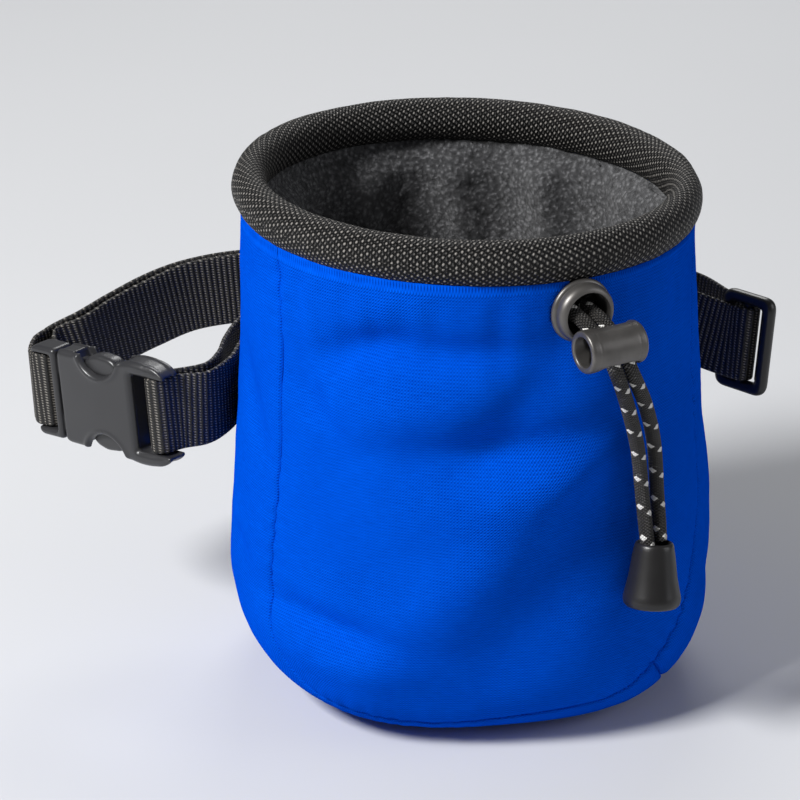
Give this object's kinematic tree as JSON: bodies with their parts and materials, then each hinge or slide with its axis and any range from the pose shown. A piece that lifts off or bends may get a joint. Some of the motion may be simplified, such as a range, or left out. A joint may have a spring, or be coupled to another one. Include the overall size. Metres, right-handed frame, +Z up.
{
  "type": "climbing chalk bag",
  "caption": "Soft round chalk bag with a padded open mouth, fleece lining, draw cord with cord lock, and a webbing waist belt with a fastened side-release buckle.",
  "frame": {"origin": "centre of the flat base, on the surface that the bag stands on, under the middle of the mouth", "axes": "+Z up, -Y the front with the large panel and the draw cord towards its right, -X the side with the buckle"},
  "size_m": [0.2017, 0.1447, 0.1415],
  "materials": {
    "shell": "plain-woven nylon, slight sheen",
    "binding": "black ballistic nylon, coarse weave",
    "fleece": "dark grey fluffy fleece",
    "webbing": "black ribbed polyester webbing",
    "cord": "dark braid with pale flecks",
    "cord_end": "satin black plastic",
    "acetal": "satin dark grey moulded plastic",
    "gunmetal": "satin gunmetal, soft highlights"
  },
  "bodies": {
    "root": {"rim_binding": "binding", "front_panel": "shell", "back_panel": "shell", "side_base_strip": "shell", "side_strip_right": "shell", "fleece_lining": "fleece", "eyelet": "gunmetal", "draw_cord_left": "cord", "draw_cord_right": "cord", "cord_lock": "gunmetal", "cord_end": "cord_end", "belt_webbing": "webbing", "belt_keeper": "webbing", "buckle_female": "acetal", "buckle_male": "acetal", "belt_slider": "acetal"}
  },
  "joints": []
}
